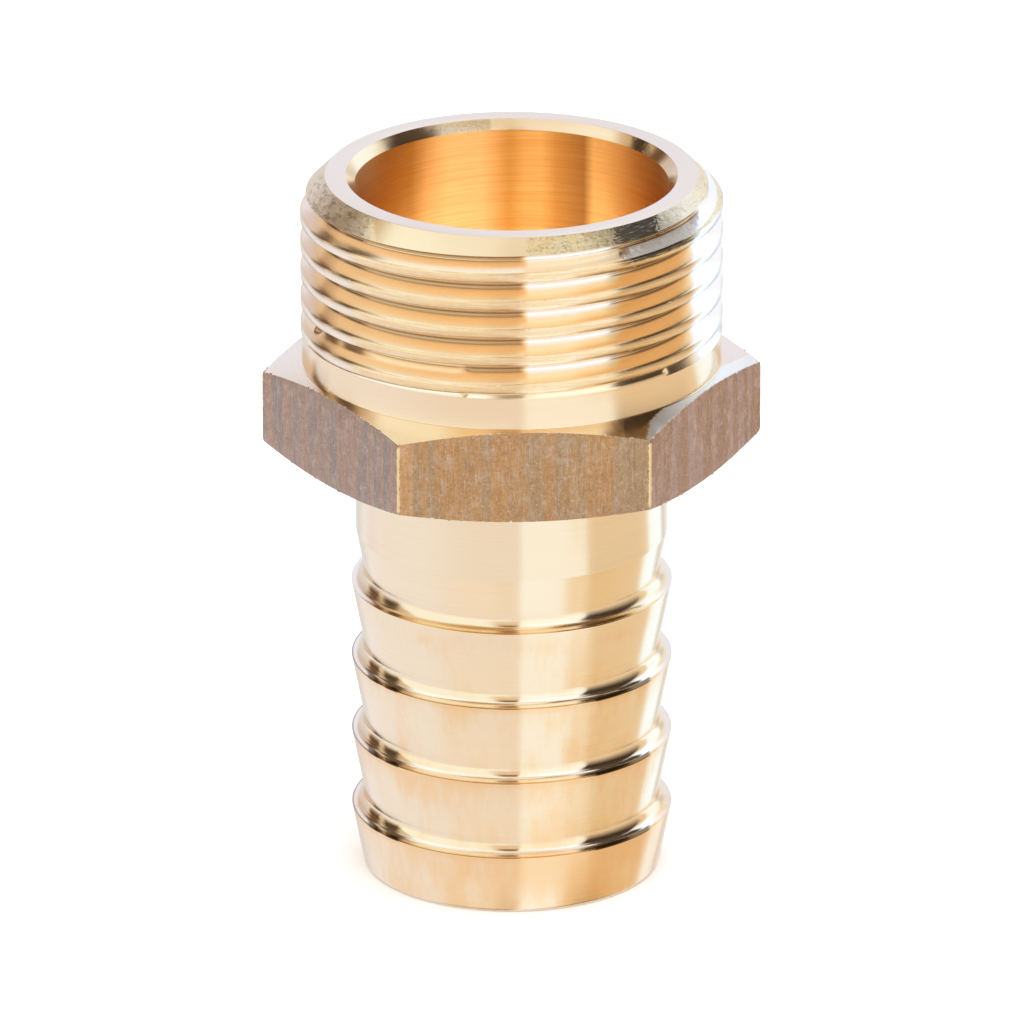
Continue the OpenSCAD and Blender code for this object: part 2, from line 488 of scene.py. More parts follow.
def fittingTree(outline, section, materials):
    inputs = treeInputs()
    tree = newTree("threadedNipple", inputs)
    g = Graph(tree)
    start = g.add("NodeGroupInput")
    named = {label: g.output(start, label) for label in inputs}
    body = turnedBody(g, start, len(outline.data.vertices), named)
    profile = g.add("GeometryNodeObjectInfo", sockets={"Object": section})
    cutter = threadCutter(g, g.output(profile, "Geometry"), len(section.data.vertices), named)
    cut = g.add("GeometryNodeMeshBoolean", {"operation": "DIFFERENCE", "solver": "EXACT"},
                {"Mesh 1": body, "Mesh 2": cutter})
    clean = g.add("GeometryNodeMergeByDistance", sockets={"Geometry": cut, "Distance": 2e-6})
    smooth = g.add("GeometryNodeSetShadeSmooth", {"domain": "FACE"},
                   {"Geometry": clean, "Shade Smooth": True})
    sharp = g.add("GeometryNodeInputMeshEdgeAngle") > math.radians(turning["sharpAngle"])
    edged = g.add("GeometryNodeSetShadeSmooth", {"domain": "EDGE"},
                  {"Geometry": smooth, "Selection": sharp, "Shade Smooth": False})
    # finishes by place: turned all over, drawn on the flats, cut in the thread, bored inside
    x, y, z = g.parts(g.add("GeometryNodeInputPosition"))
    outX, outY, tilt = g.parts(g.add("GeometryNodeInputNormal"))
    radius = g.maths("SQRT", x * x + y * y)
    flats = (radius > 13.35 * mm) * (g.maths("ABSOLUTE", tilt) < 0.35)
    threaded = (radius > 11.9 * mm) * (z > (threadBottom + 0.05) * mm) * (tilt < 0.99)
    inward = (x * outX + y * outY) / radius < -0.3
    bored = (radius < (passage["threadRadius"] + 0.02) * mm) * (z > 0.6 * mm) * inward
    joined = g.add("GeometryNodeJoinGeometry", sockets={
        "Geometry": [edged, rimChips(g, named), crestFlakes(g, named)]})
    last = g.add("GeometryNodeRealizeInstances", sockets={"Geometry": joined})
    chamfered = (radius > 11.55 * mm) * (z > (fittingTop - thread["endChamfer"] + 0.02) * mm) \
        * (tilt > 0.60) * (tilt < 0.80)
    for material, where in ((materials["turned"], None), (materials["thread"], threaded),
                            (materials["chamfer"], chamfered), (materials["bore"], bored),
                            (materials["flats"], flats)):
        sockets = {"Geometry": last, "Material": material}
        if where is not None:
            sockets["Selection"] = where
        last = g.add("GeometryNodeSetMaterial", sockets=sockets)
    g.add("NodeGroupOutput", sockets={"Geometry": last})
    return tree


# Materials

def newMaterial(name):
    material = bpy.data.materials.new(name)
    material.use_nodes = True
    material.node_tree.nodes.clear()
    return material, Graph(material.node_tree)


# one finish each: tints, and lengths in millimetres
finishes = {
    "turned": {
        "colour": (0.94, 0.73, 0.45), "copper": (0.94, 0.58, 0.26), "band": (0.94, 0.69, 0.40),
        "line": (0.80, 0.64, 0.46), "hollow": (1.0, 0.90, 0.74), "speck": (0.55, 0.38, 0.22),
        "lipDarkReflection": (0.40, 0.28, 0.16), "block": (0.16, 0.11, 0.06), "topHighlight": (1.0, 0.93, 0.80),
        "cornerDarkReflection": (0.30, 0.24, 0.16), "rolled": (1.0, 0.91, 0.76),
        "mouthDirt": (0.62, 0.46, 0.27), "mouthShade": (0.40, 0.30, 0.18),
        "roughness": 0.155, "anisotropy": 0.8, "lineWidth": 0.10, "lineHeight": 0.0040, "lineLength": 0.8,
        # where a painted dark reflection fills the ridges' hollows: from x, to x, softness
        "darkReflections": [(4.75, 8.35, 0.15), (-9.2, -8.65, 0.1), (-8.25, -7.5, 0.1)],
    },
    "thread": {
        "colour": (0.93, 0.64, 0.32), "flank": (1.0, 0.75, 0.46), "leftSheenTint": (1.0, 0.88, 0.64),
        "rootDark": (0.50, 0.33, 0.17), "edge": (0.60, 0.42, 0.23), "spot": (0.80, 0.54, 0.27),
        "fleck": (1.0, 0.84, 0.62), "scratch": (0.66, 0.46, 0.25), "farRight": (1.0, 0.95, 0.86),
        "farLeft": (1.0, 0.86, 0.66), "ledge": (0.22, 0.16, 0.10), "black": (0.15, 0.12, 0.08),
        "torn": (1.0, 0.90, 0.74), "roughness": 0.18, "anisotropy": 0.93,
        "lineWidth": 0.08, "lineHeight": 0.0022, "lineLength": 1.2, "crown": 0.16, "spotHeight": 0.0030,
        # the sunny side's colour from the root out to the crest
        "sunny": [(0.05, (1.0, 0.90, 0.78)), (0.25, (1.0, 0.88, 0.68)), (0.40, (1.0, 0.86, 0.61)),
                  (0.54, (1.0, 0.82, 0.55)), (0.69, (1.0, 0.73, 0.42)), (1.0, (1.0, 0.73, 0.40))],
    },
    "bore": {
        # the deep orange is painted: it stands for light reflected several times round the bore
        "colour": (0.90, 0.55, 0.20), "dark": (0.85, 0.42, 0.13), "scratch": (1.0, 0.74, 0.44),
        "roughness": 0.42, "anisotropy": 0.92,
        "lineWidth": 0.11, "lineHeight": 0.006, "lineLength": 1.4, "climb": 0.30,
        # painted light and shade on the wall at each angle round from the back, in degrees
        "bands": [(-90, (0.85, 0.90, 0.85)), (-54, (0.85, 0.90, 0.81)), (-37, (0.76, 0.71, 0.50)),
                  (-30, (1.0, 1.0, 0.95)), (-20, (1.0, 1.0, 1.0)), (-8, (0.92, 0.88, 0.87)),
                  (1, (0.66, 0.53, 0.33)), (3, (0.64, 0.52, 0.31)), (8, (0.80, 0.71, 0.55)),
                  (14, (0.82, 0.73, 0.56)), (20, (0.62, 0.47, 0.28)), (26, (0.50, 0.37, 0.22)),
                  (31, (0.43, 0.31, 0.19)), (35, (0.92, 0.90, 0.75)), (40, (0.97, 0.96, 0.84)),
                  (47, (0.90, 0.93, 0.82)), (58, (0.84, 0.93, 0.98)), (90, (0.84, 0.90, 0.90))],
    },
    "chamfer": {
        "colour": (0.95, 0.74, 0.45), "golden": (0.86, 0.62, 0.28), "olive": (0.34, 0.25, 0.12),
        "pale": (1.0, 0.84, 0.58), "grey": (0.34, 0.26, 0.17), "groove": (0.52, 0.37, 0.19),
        "ridge": (1.0, 0.86, 0.56), "crossed": (0.42, 0.32, 0.19), "grain": (0.98, 0.82, 0.52),
        "farRight": (1.0, 0.84, 0.60), "black": (0.14, 0.115, 0.08),
        "roughness": 0.20, "anisotropy": 0.5, "middle": 12.4, "scratchWidth": 0.08, "scratchLength": 1.1,
        "scratchHeight": 0.020, "roughHeight": 0.022, "blotchHeight": 0.045,
    },
    "flats": {
        "brown": (0.47, 0.245, 0.088), "rust": (0.37, 0.175, 0.062), "mauve": (0.385, 0.250, 0.172),
        "slate": (0.29, 0.235, 0.20), "pink": (0.43, 0.255, 0.165), "olive": (0.38, 0.24, 0.115),
        "orange": (0.58, 0.30, 0.11), "gold": (0.86, 0.60, 0.30), "pale": (0.62, 0.47, 0.35),
        "deep": (0.24, 0.15, 0.10), "streak": (0.68, 0.62, 0.56), "hair": (0.74, 0.56, 0.40),
        "pit": (0.20, 0.12, 0.08), "grain": (0.78, 0.55, 0.36), "nick": (0.86, 0.62, 0.40),
        "roughness": 0.44, "metal": 0.75, "streakWidth": 0.20, "hairWidth": 0.065, "speckSize": 0.22,
    },
}


class Place:
    # where a point of the fitting is: its angle, radius and height in millimetres
    def __init__(self, g):
        at = g.add("ShaderNodeTexCoord")
        self.g = g
        self.point = g.add("ShaderNodeVectorMath", {"operation": "SCALE"},
                           {0: g.output(at, "Object"), "Scale": 1000.0})
        self.x, self.y, self.z = g.parts(self.point)
        self.radius = g.maths("SQRT", self.x * self.x + self.y * self.y)

    def turned(self, width, length):
        # a vector that runs quickly along the profile and slowly round it
        across = (self.z + self.radius * 0.7) / width
        return self.g.vector(self.x / self.radius * length, self.y / self.radius * length, across)

    def drawn(self, across, along, detail, rough):
        # noise with one scale across the axis and another along it
        spot = self.g.vector(self.x * across, self.y * across, self.z * along)
        return self.g.noise(spot, 1.0, detail, rough)


def brassShader(g, colour, roughness, height, anisotropy=0.0, metallic=1.0):
    # the lines of turning run round the axis, so the reflections spread along it
    normal = g.add("ShaderNodeBump", sockets={"Height": height, "Distance": mm})
    shader = g.add("ShaderNodeBsdfPrincipled", sockets={
        "Base Color": colour, "Metallic": metallic, "Roughness": roughness, "Anisotropic": anisotropy,
        "Anisotropic Rotation": 0.25 if anisotropy else 0.0, "Normal": normal})
    g.add("ShaderNodeOutputMaterial", sockets={"Surface": shader})


def turnedBrass():
    material, g = newMaterial("turnedBrass")
    look, place = finishes["turned"], Place(g)
    x, y, z, radius = place.x, place.y, place.z, place.radius
    lines = g.noise(place.turned(look["lineWidth"], look["lineLength"]), 1.0, 4, 0.62)
    grain = g.ease(lines, 0.2, 0.8)
    speckle = g.noise(place.point, 7.0, 3, 0.75)
    # copper-coloured stains gather under the ridges and over the last cone
    pitch = tail["ridgePitch"]
    below = (tail["noseLength"] + tail["ridgeCount"] * pitch - z) % pitch
    under = g.fade(below, 0.1, 2.6)
    rimLine = g.fade(below, 0.05, 0.55)
    patch = place.drawn(0.30, 0.16, 4, 0.55)
    streak = place.drawn(2.2, 0.25, 3, 0.6)
    low = g.fade(z, 1.0, 17)
    bottom = g.fade(z, 0.2, 5.0)
    onTail = g.fade(z, 17.5, 19)
    gathered = patch + streak * 0.26 + under * 0.16 + rimLine * 0.14 + low * 0.10 + bottom * 0.15
    stain = g.ease(gathered, 0.60, 1.02) * onTail
    onBand = g.ease(z, hexBottom + 0.5, bandBottom)
    # a thin painted dark reflection on each shoulder's outer edge at the left, and painted dark
    # reflections in blocks at both sides
    above = (z - tail["noseLength"] + 0.2) % pitch
    lip = g.ease(radius, tail["ridgeRadius"] - 0.13, tail["ridgeRadius"] - 0.08) \
        * g.band(above, 0.185, 0.27, 0.01) * g.fade(x, -0.25, 0.05) * onTail
    # a painted highlight: a paler ring in the hollows next to the shoulders
    hollowHighlight = g.band(radius, 9.42, 9.84, 0.05) * g.band(above, 0.185, 0.55, 0.05) * onTail \
        * g.band(x, -8.9, 8.6, 0.3)
    darkReflections = [g.band(x, *block) for block in look["darkReflections"]]
    darkLip = g.ease(radius, 9.70, 9.76) * g.band(above, 0.135, 0.28, 0.015) * onTail \
        * sum(darkReflections[1:], darkReflections[0])
    # the hexagon's upper chamfer: its front right flat has a rolled rim, painted paler as a highlight,
    # and a painted dark reflection at the front corner; its left has a painted highlight
    onTop = g.band(z, bandBottom - 0.85, bandBottom + 0.02, 0.02) * g.ease(radius, 13.1, 13.2)
    rim = hexagon["acrossFlats"] / 2 - x * 0.866 + y * 0.5
    alongRim = x * 0.5 + y * 0.866 + 7.79
    onRight = onTop * g.ease(alongRim, -0.1, 0.1) * g.ease(x, 5.0, 6.0)
    reach = g.least(0.35 + alongRim * 0.35, 1.0)
    strip = g.fade(rim + (speckle - 0.5) * 0.6 - reach, -0.12, 0.05) * onRight
    corner = g.ease(x, 6.15, 6.30) * (1 - strip) * g.fade(x, 10.0, 11.5) * onTop \
        * g.fade(y, -7, -5)
    # the chamfer at the bore's mouth is dirty at the back
    mouth = g.band(z, fittingTop - 0.56, fittingTop - 0.03, 0.02) \
        * g.fade(radius, 10.3, 10.34) * g.ease(y, 2, 4)
    behind = mouth * g.band(x, -4.6, -0.75, 0.1) * (0.55 + g.ease(speckle, 0.4, 0.6) * 0.4)
    colour = g.layered(look["colour"], [
        (onBand, look["band"]),
        (stain, look["copper"]),
        (grain * 0.22, look["line"]),
        (hollowHighlight * 0.6, look["hollow"]),
        (lip * 0.9, look["lipDarkReflection"]),
        (darkLip * 0.9, look["block"]),
        (g.ease(speckle, 0.66, 0.70) * under * onTail * 0.45, look["speck"]),
        (onTop * g.band(x, -10.6, -4.6, 1.2) * 0.9, look["topHighlight"]),
        (corner * 0.62, look["cornerDarkReflection"]),
        (strip, look["rolled"]),
        (behind, look["mouthDirt"]),
        (mouth * g.band(x, 7.9, 8.9, 0.15) * g.ease(speckle, 0.38, 0.5), look["mouthShade"])])
    hollow = g.band(above, 0.17, 1.1, 0.1) * onTail
    rough = look["roughness"] + stain * 0.05 + (grain - 0.5) * 0.06 - hollow * 0.06 + strip * 0.34
    # the rolled rim leans outward
    rolled = (g.least(g.most(rim, 0), 1.0) - 1.0) * 0.20 * onTop \
        * g.ease(alongRim, 0, 2.2) * g.ease(x, 5.0, 6.0)
    brassShader(g, colour, rough, lines * look["lineHeight"] + rolled, look["anisotropy"])
    return material


def cutThread():
    material, g = newMaterial("cutThread")
    look, place = finishes["thread"], Place(g)
    x, y, z, radius = place.x, place.y, place.z, place.radius
    outside, depth = thread["crestRadius"], thread["depth"]
    lines = g.noise(place.turned(look["lineWidth"], look["lineLength"]), 1.0, 3, 0.6)
    spots = g.noise(place.point, 2.6, 4, 0.7)
    fleck = g.noise(place.turned(0.09, 6.0), 1.0, 3, 0.7)
    # how far a point is above or below the middle of the crest it belongs to
    turn = (g.maths("ARCTAN2", x, 0 - y) - math.radians(thread["runoutAngle"])) / (2 * math.pi)
    up = (((z - grooveStart) / thread["pitch"] - turn) % 1 - 0.5) * thread["pitch"]
    crest = g.ease(radius, outside - 0.09, outside - 0.03) \
        * g.fade(g.maths("ABSOLUTE", up), 0.30, 0.34)
    root = g.fade(radius, outside - depth + 0.03, outside - depth + 0.16)
    outer = g.ease(radius, outside - 0.62, outside - 0.05)
    # the outer flanks at the left get a painted highlight, and the root is darker at the left and right
    left = g.fade(x, -0.3, 0.2)
    right = g.ease(x, 6.0, 7.6)
    sunny = g.ease(x, 0.0, 0.4) * g.fade(x, 5.7, 6.4)
    leftSheen = left * g.ease(x, -11.0, -9.5)
    depthShade = g.ramp((radius - outside + depth) / depth, look["sunny"])
    # the crests' colour, with painted shade along their edges
    below = g.ease((spots - 0.5) * 0.10 - up, 0.20, 0.27) * (1 - sunny)
    above = g.ease((spots - 0.5) * 0.10 + up, 0.22, 0.28) * g.fade(x, -9.5, -7.5)
    rubbed = g.layered(look["colour"], [
        (g.ease(spots, 0.40, 0.75) * 0.35, look["spot"]),
        (g.ease(fleck, 0.50, 0.66) * 0.45, look["fleck"]),
        (g.fade(fleck, 0.36, 0.50) * 0.30, look["scratch"]),
        (g.most(below, above * 0.6) * 0.8, look["edge"])])
    # painted shade in the run-out under the lowest crest, and a painted dark reflection on the first
    # crest, both at the right
    inFront = g.fade(y, -3, 0)
    ledge = g.band(x, 7.0, 12.05, 0.08) * inFront \
        * g.fade(z, threadBottom + 0.08, threadBottom + 0.14) * g.fade(radius, 12.9, 13.0)
    firstCrest = inFront * g.band(x, 6.4, 11.0, 0.5) \
        * g.ease(z, fittingTop - 2.2, fittingTop - 2.0)
    upper = g.ease(up + (spots - 0.5) * 0.3, -0.10, 0.0)
    # the first groove is cut shallower and torn there, so it faces further up
    torn = firstCrest * (1 - crest) * g.ease(radius, 12.25, 12.35)
    wedge = firstCrest * g.most(g.least(radius, 13.08) - 13.08, -0.85) * 0.30 + torn * spots * 0.12
    colour = g.layered(look["flank"], [
        (outer * leftSheen * 0.8, look["leftSheenTint"]),
        (sunny, depthShade),
        (root * g.most(left, right) * 0.9, look["rootDark"]),
        (crest, rubbed),
        # a painted highlight at the far right, and a paler painted reflection on the crests at the far
        # left
        (g.ease(x, 10.5, 11.1) * 0.9, look["farRight"]),
        (g.fade(x, -10.8, -9.8) * crest * 0.6, look["farLeft"]),
        (ledge, look["ledge"]),
        (firstCrest * crest * upper * g.fade(fleck, 0.54, 0.64), look["black"]),
        # the torn metal is rough, and painted paler as a highlight
        (torn, look["torn"])])
    height = lines * look["lineHeight"] + spots * crest * look["spotHeight"] \
        + fleck * crest * look["spotHeight"] - (up - 0.15) * (up - 0.15) * crest * look["crown"] + wedge
    brassShader(g, colour, look["roughness"] + crest * 0.03 + torn * 0.34, height, look["anisotropy"])
    return material


def boredBrass():
    material, g = newMaterial("boredBrass")
    look, place = finishes["bore"], Place(g)
    x, y, z, radius = place.x, place.y, place.z, place.radius
    # the drill leaves lines that climb a little
    turn = g.maths("ARCTAN2", x, y)
    across = (z - turn * look["climb"]) / look["lineWidth"]
    length = look["lineLength"]
    lines = g.noise(g.vector(x / radius * length, y / radius * length, across), 1.0, 4, 0.7)
    scratches = g.noise(g.vector(x * 0.9, y * 0.9, (z + x * 0.16) * 5), 1.0, 3, 0.6)
    deepest = g.ease(scratches, 0.70, 0.78)
    shades = [(angle / 360 + 0.5, tint) for angle, tint in look["bands"]]
    shade = g.ramp(turn / (2 * math.pi) + 0.5, shades)
    colour = g.mixColour(g.ease(lines, 0.30, 0.70), look["dark"], look["colour"])
    colour = g.mixColour(1.0, colour, shade, "MULTIPLY")
    colour = g.mixColour(deepest * 0.35, colour, look["scratch"])
    height = lines * look["lineHeight"] - deepest * 0.001
    brassShader(g, colour, look["roughness"], height, look["anisotropy"])
    return material


def chamferBrass():
    material, g = newMaterial("chamferBrass")
    look, place = finishes["chamfer"], Place(g)
    x, y, z, radius = place.x, place.y, place.z, place.radius
    # places round the chamfer, and across its slope
    across = (z - radius) / 1.414
    aroundX = x / radius * look["middle"]
    aroundY = y / radius * look["middle"]
    length, width = look["scratchLength"], look["scratchWidth"]
    scratches = g.noise(g.vector(aroundX / length, aroundY / length, across / width), 1.0, 3, 0.7)
    skewX, skewY = (aroundX + across * 1.6) / width, (aroundY + across * 1.6) / length
    crossed = g.noise(g.vector(skewX, skewY, across / 0.5), 1.0, 2, 0.6)
    patches = g.noise(place.point, 0.55, 2, 0.5)
    rough = g.noise(place.point, 5.0, 4, 0.75)
    blotch = g.noise(g.vector(aroundX / 0.7, aroundY / 0.7, across / 0.30), 1.0, 3, 0.6)
    # the front is clean, and the rest is worn and scratched by the die
    clean = g.band(x, -9.2, 0.3, 0.4) * g.fade(y, -2, 2)
    worn = (0.65 + g.ease(patches, 0.36, 0.60) * 0.35) * (1 - clean * 0.95)
    height = scratches * (worn + 0.06) * look["scratchHeight"] + rough * worn * look["roughHeight"] \
        + crossed * worn * look["scratchHeight"] * 0.5 + blotch * worn * look["blotchHeight"]
    # golden and olive at the front right, a nearly black painted dark reflection further right with a
    # painted highlight around it in front, dull grey at the left
    inFront = g.fade(y, -3, 0)
    olive = g.band(x, 0.3, 6.4, 0.25) * g.ease(z, fittingTop - 1.35, fittingTop - 1.15)
    leftSide = g.fade(x, -9.6, -9.0) * g.fade(y, -1, 3)
    black = g.band(x + (rough - 0.5) * 2.0, 5.7, 8.5, 0.12) * inFront \
        * g.band(z + (blotch - 0.5) * 1.4, fittingTop - 1.05, fittingTop + 0.3, 0.08)
    colour = g.layered(look["colour"], [
        (olive * (0.5 + g.ease(blotch, 0.4, 0.6) * 0.5), look["golden"]),
        (olive * g.fade(rough, 0.38, 0.47) * 0.7, look["olive"]),
        (leftSide * 0.6, look["pale"]),
        (leftSide * g.ease(blotch, 0.54, 0.60) * 0.6, look["grey"]),
        (g.fade(scratches, 0.36, 0.46) * worn * 0.50, look["groove"]),
        (g.ease(scratches, 0.54, 0.62) * worn * (0.8 - olive * 0.45), look["ridge"]),
        (g.fade(crossed, 0.34, 0.42) * worn * 0.5, look["crossed"]),
        (g.ease(rough, 0.58, 0.66) * worn * (0.5 - olive * 0.3), look["grain"]),
        (g.band(x, 5.7, 11.0, 0.5) * inFront * (1 - black) * 0.6, look["farRight"]),
        (black * (0.94 - g.ease(scratches, 0.56, 0.64) * 0.7), look["black"])])
    brassShader(g, colour, look["roughness"] + worn * 0.14, height, look["anisotropy"])
    return material


def drawnFlats():
    # dull drawn bar: drawn along the axis, oxidised in patches, with bright nicks and worn corners
    material, g = newMaterial("drawnFlats")
    look, place = finishes["flats"], Place(g)
    x, y, z, radius = place.x, place.y, place.z, place.radius
    wide, fine = look["streakWidth"], look["hairWidth"]
    streaks = g.noise(g.vector(x / wide, y / wide, z * 0.30), 1.0, 4, 0.7)
    hair = g.noise(g.vector(x / fine, y / fine, z * 0.9), 1.0, 2, 0.6)
    bands = g.noise(g.vector(x * 1.0 + 7, y * 1.0, z * 0.06), 1.0, 2, 0.6)
    blots = place.drawn(1.6, 1.3, 4, 0.7)
    grain = g.noise(place.point, 7.0, 4, 0.75)
    slanted = g.vector(x + z * 0.4, y, z * 0.6 - x * 0.2)
    nicks = g.noise(slanted, 1 / look["speckSize"], 3, 0.7)
    toFront = g.ease(x, -8.0, -7.6)
    toRight = g.ease(x, 7.6, 8.0)
    # drawn bands of another tint: bluish and pink at the left, olive in front, red at the right
    left = g.layered(look["mauve"], [
        (g.ease(bands, 0.50, 0.62) * 0.8, look["slate"]),
        (g.fade(bands, 0.36, 0.48), look["pink"])])
    front = g.layered(look["brown"], [
        (g.ease(bands + (blots - 0.5) * 0.3, 0.46, 0.62) * 0.8, look["olive"]),
        (g.band(x, -8.0, -6.9, 0.25) * 0.8, look["orange"]),
        (g.band(x, 6.2, 7.5, 0.3) * 0.8, look["olive"])])
    right = g.mixColour(g.ease(bands, 0.45, 0.60) * 0.8, look["rust"], look["pink"])
    colour = g.layered(left, [
        (toFront, front),
        (toRight, right),
        (g.ease(blots, 0.48, 0.70) * 0.35, look["pale"]),
        (g.fade(blots, 0.30, 0.46) * 0.35, look["deep"])])
    colour = g.mixColour(g.ease(streaks, 0.35, 0.75) * 0.40, colour, look["streak"], "MULTIPLY")
    # the corners are rubbed bright, with gaps
    edge = g.ease(radius + (grain - 0.5) * 0.12 + (blots - 0.5) * 0.08, 15.52, 15.55)
    colour = g.layered(colour, [
        (g.ease(hair, 0.50, 0.66) * 0.20, look["hair"]),
        (g.fade(grain, 0.36, 0.47) * 0.50, look["pit"]),
        (g.ease(grain, 0.56, 0.68) * 0.42, look["grain"]),
        (g.ease(nicks, 0.70, 0.74) * 0.7, look["nick"]),
        (edge * 0.9, look["gold"])])
    height = streaks * 0.010 + grain * 0.012 + blots * 0.02 + hair * 0.004
    brassShader(g, colour, look["roughness"] - edge * 0.24, height, metallic=look["metal"])
    return material


def makePlain(piece):
    # the modifier's result as the piece's own mesh
    shape = bpy.data.meshes.new_from_object(piece.evaluated_get(bpy.context.evaluated_depsgraph_get()))
    piece.modifiers.clear()
    piece.data = shape


def makeFitting():
    materials = {"turned": turnedBrass(), "thread": cutThread(), "bore": boredBrass(),
                 "chamfer": chamferBrass(), "flats": drawnFlats()}
    fitting = outlineObject("threadedNipple")
    section = sectionObject("grooveSection")
    tree = fittingTree(fitting, section, materials)
    modifier = fitting.modifiers.new("shape", "NODES")
    modifier.node_group = tree
    values = treeInputs()
    for item in tree.interface.items_tree:
        if item.in_out == "INPUT" and item.name in values:
            modifier[item.identifier] = values[item.name]
    bpy.context.view_layer.update()
    makePlain(fitting)
    bpy.data.objects.remove(section)
    triangles = sum(len(face.vertices) - 2 for face in fitting.data.polygons)
    print("fitting:", len(fitting.data.vertices), "points,", triangles, "triangles")
    return fitting


# Studio

studio = {
    "distance": 957.6, "elevation": 20.97, "azimuth": -3.3, "aimHeight": 23.24,
    "focalPixels": 15311.0, "frame": 1024, "sensor": 36.0, "shift": 0.0003,
    "floorRadius": 600.0, "floorPoints": 96, "floorColour": (0.93, 0.93, 0.93),
    "overheadPlace": (0.1, -0.1, 0.9), "overheadSize": 0.8, "overheadPower": 4.0,
    "lampSize": 18.6, "lampPower": 0.0027,
}


def makeCamera():
    data = bpy.data.cameras.new("camera")
    data.sensor_width = studio["sensor"]
    data.lens = studio["focalPixels"] / studio["frame"] * studio["sensor"]
    data.shift_x = studio["shift"]
    data.clip_start, data.clip_end = 0.05, 20
    camera = bpy.data.objects.new("camera", data)
    bpy.context.collection.objects.link(camera)
    up, side = math.radians(studio["elevation"]), math.radians(studio["azimuth"])
    away = Vector((math.cos(up) * math.sin(side), -math.cos(up) * math.cos(side), math.sin(up)))
    aim = Vector((0, 0, studio["aimHeight"] * mm))
    camera.location = aim + away * studio["distance"] * mm
    camera.rotation_euler = (-away).to_track_quat("-Z", "Y").to_euler()
    bpy.context.scene.camera = camera


def makeFloor():
    reach, count = studio["floorRadius"] * mm, studio["floorPoints"]
    ring = [(reach * math.cos(2 * math.pi * i / count), reach * math.sin(2 * math.pi * i / count), 0)
            for i in range(count)]
    floor = newObject("floor", ring, [], [list(range(count))])
    material, g = newMaterial("paleFloor")
    shader = g.add("ShaderNodeBsdfPrincipled", sockets={
        "Base Color": studio["floorColour"], "Roughness": 0.9, "Specular IOR Level": 0.0})
    g.add("ShaderNodeOutputMaterial", sockets={"Surface": shader})
    floor.data.materials.append(material)
    floor.visible_glossy = False


